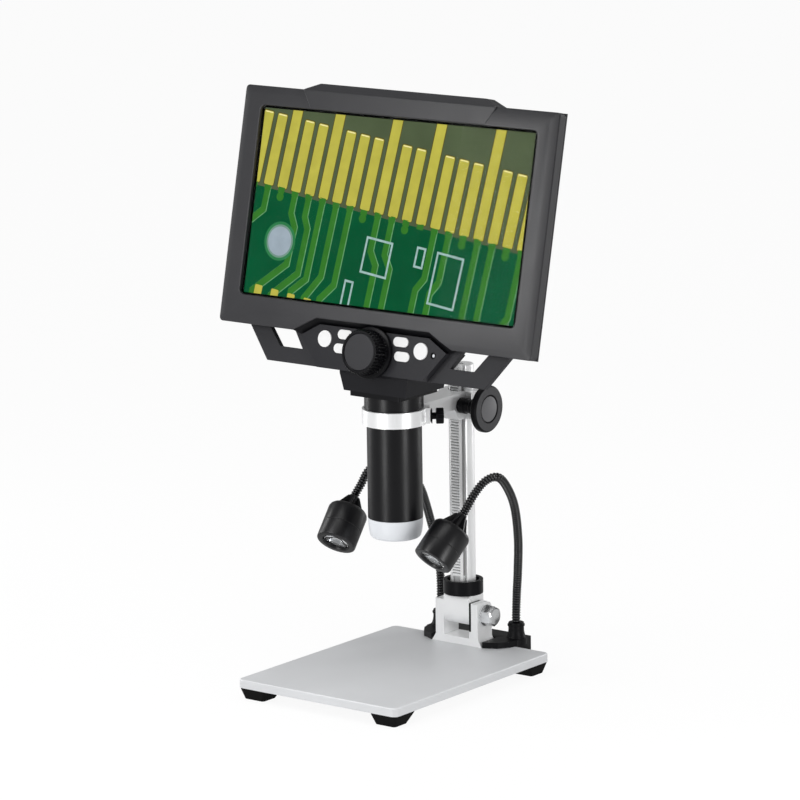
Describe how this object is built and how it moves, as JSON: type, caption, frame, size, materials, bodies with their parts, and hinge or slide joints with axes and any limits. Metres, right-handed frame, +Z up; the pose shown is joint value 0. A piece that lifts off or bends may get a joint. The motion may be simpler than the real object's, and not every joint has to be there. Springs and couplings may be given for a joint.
{
  "type": "lcd digital microscope",
  "caption": "Free-standing digital microscope with a tilted screen head on a rack and pinion column, focus wheel, base plate and two lamps on bendable necks.",
  "frame": {"origin": "on the ground at the middle of the footprint, under the whole object", "axes": "+Z up; the viewer looks along +Y at the screen; +X is the viewer's right, where the height knob is"},
  "size_m": [0.2466, 0.18, 0.3808],
  "materials": {
    "anodised_plate": "fine satin, sandblasted and anodised, brighter machined edge",
    "machined_aluminium": "satin machined",
    "column_aluminium": "satin extrusion, fine lengthwise draw lines",
    "bright_steel": "bright zinc",
    "bronze": "machined",
    "foot_rubber": "matte",
    "black_washer": "matte",
    "black_plastic": "satin black moulding",
    "knob_face": "satin dark grey",
    "barrel_black": "fine leather-like grain",
    "charcoal_case": "fine moulded grain",
    "back_case": "fine moulded grain",
    "frosted_cover": "frosted translucent",
    "circuit_board": "solder mask",
    "clear_glass": "clear",
    "picture_panel": "lit picture of a circuit board edge",
    "white_button": "satin white",
    "lamp_black": "fine satin black",
    "lamp_lens": "clear moulded lens",
    "neck_black": "ribbed satin black"
  },
  "bodies": {
    "stand": {"base_plate": "anodised_plate", "foot_front_left": "foot_rubber", "foot_front_right": "foot_rubber", "foot_rear_left": "foot_rubber", "foot_rear_right": "foot_rubber", "foot_screws": "bright_steel", "hinge_bracket": "machined_aluminium", "base_screws": "bright_steel", "lamp_yoke": "black_plastic", "lamp_inlet": "bright_steel", "hinge_bolt": "bright_steel", "hinge_nut": "bright_steel", "hinge_washers": "black_washer", "left_lamp_neck": "neck_black", "right_lamp_neck": "neck_black"},
    "column": {"tilt_block": "machined_aluminium", "column": "column_aluminium", "rack": "bright_steel", "column_collar": "black_plastic", "column_grub_screws": "bright_steel"},
    "carriage": {"carriage": "machined_aluminium", "pinion_bushes": "bronze", "friction_screw": "bright_steel"},
    "height_knob": {"pinion": "bronze", "knob_spindle": "bright_steel", "height_knob": "black_plastic", "knob_cap": "knob_face"},
    "clamp_screw": {"clamp_screw": "black_plastic"},
    "head": {"barrel": "barrel_black", "neck_plate": "black_plastic", "neck_housing": "charcoal_case", "neck_screws": "bright_steel", "led_cover": "frosted_cover", "led_board": "circuit_board", "sensor_board": "circuit_board", "console_plate": "charcoal_case", "left_grip": "charcoal_case", "right_grip": "charcoal_case", "front_bezel": "charcoal_case", "rear_cover": "back_case", "case_screws": "bright_steel", "screen_glass": "clear_glass", "lcd_panel": "picture_panel", "main_board": "circuit_board", "button_board": "circuit_board", "power_inlet": "bright_steel"},
    "lens": {"lens_carrier": "black_plastic", "objective_lens": "clear_glass"},
    "focus": {"focus_wheel": "black_plastic", "focus_spindle": "bright_steel"},
    "left_lamp": {"left_lamp_shell": "lamp_black", "left_lamp_optic": "lamp_lens"},
    "right_lamp": {"right_lamp_shell": "lamp_black", "right_lamp_optic": "lamp_lens"},
    "power_button": {"power_button": "white_button"},
    "ok_button": {"ok_button": "white_button"},
    "menu_button": {"menu_button": "white_button"},
    "mode_button": {"mode_button": "white_button"},
    "up_button": {"up_button": "white_button"},
    "down_button": {"down_button": "white_button"}
  },
  "joints": [
    {"name": "column_tilt", "type": "hinge", "parent": "stand", "child": "column", "pos_m": [0, 0.066, 0.0332], "axis": [1, 0, 0], "range_deg": [-15, 10]},
    {"name": "carriage_slide", "type": "slide", "parent": "column", "child": "carriage", "axis": [0, 0, 1], "range_m": [-0.06, 0.014]},
    {"name": "height_knob_turn", "type": "hinge", "parent": "carriage", "child": "height_knob", "pos_m": [0, 0.05375, 0.1732], "axis": [1, 0, 0], "range_deg": [-170, 720]},
    {"name": "clamp_screw_turn", "type": "hinge", "parent": "carriage", "child": "clamp_screw", "pos_m": [0, -0.005, 0.175], "axis": [0.766, 0.6428, 0], "range_deg": [0, 360]},
    {"name": "head_swivel", "type": "hinge", "parent": "carriage", "child": "head", "pos_m": [0, -0.005, 0.18], "axis": [0, 0, 1], "range_deg": [-30, 30]},
    {"name": "lens_slide", "type": "slide", "parent": "head", "child": "lens", "axis": [0, 0, 1], "range_m": [-0.0024, 0.0024]},
    {"name": "focus_wheel_turn", "type": "hinge", "parent": "head", "child": "focus", "pos_m": [0, -0.03047, 0.2204], "axis": [0, -0.9763, 0.2164], "range_deg": [-44, 44]},
    {"name": "power_button_press", "type": "slide", "parent": "head", "child": "power_button", "axis": [0, 0.9763, -0.2164], "range_m": [0, 0.0008], "stiffness_N_per_m": 200, "springref_m": -0.0004},
    {"name": "ok_button_press", "type": "slide", "parent": "head", "child": "ok_button", "axis": [0, 0.9763, -0.2164], "range_m": [0, 0.0008], "stiffness_N_per_m": 200, "springref_m": -0.0004},
    {"name": "menu_button_press", "type": "slide", "parent": "head", "child": "menu_button", "axis": [0, 0.9763, -0.2164], "range_m": [0, 0.0008], "stiffness_N_per_m": 200, "springref_m": -0.0004},
    {"name": "mode_button_press", "type": "slide", "parent": "head", "child": "mode_button", "axis": [0, 0.9763, -0.2164], "range_m": [0, 0.0008], "stiffness_N_per_m": 200, "springref_m": -0.0004},
    {"name": "up_button_press", "type": "slide", "parent": "head", "child": "up_button", "axis": [0, 0.9763, -0.2164], "range_m": [0, 0.0008], "stiffness_N_per_m": 200, "springref_m": -0.0004},
    {"name": "down_button_press", "type": "slide", "parent": "head", "child": "down_button", "axis": [0, 0.9763, -0.2164], "range_m": [0, 0.0008], "stiffness_N_per_m": 200, "springref_m": -0.0004},
    {"name": "left_lamp_tilt", "type": "hinge", "parent": "stand", "child": "left_lamp", "pos_m": [-0.0375, 0.034, 0.1352], "axis": [1, 0, 0], "range_deg": [-15, 15], "deforming": ["left_lamp_neck"]},
    {"name": "right_lamp_tilt", "type": "hinge", "parent": "stand", "child": "right_lamp", "pos_m": [0.0537, 0.036, 0.1325], "axis": [1, 0, 0], "range_deg": [-15, 15], "deforming": ["right_lamp_neck"]}
  ],
  "couplings": [
    {"joint": "height_knob_turn", "follows": "carriage_slide", "rad_per_m": -208.33},
    {"joint": "focus_wheel_turn", "follows": "lens_slide", "rad_per_m": 305.09}
  ]
}
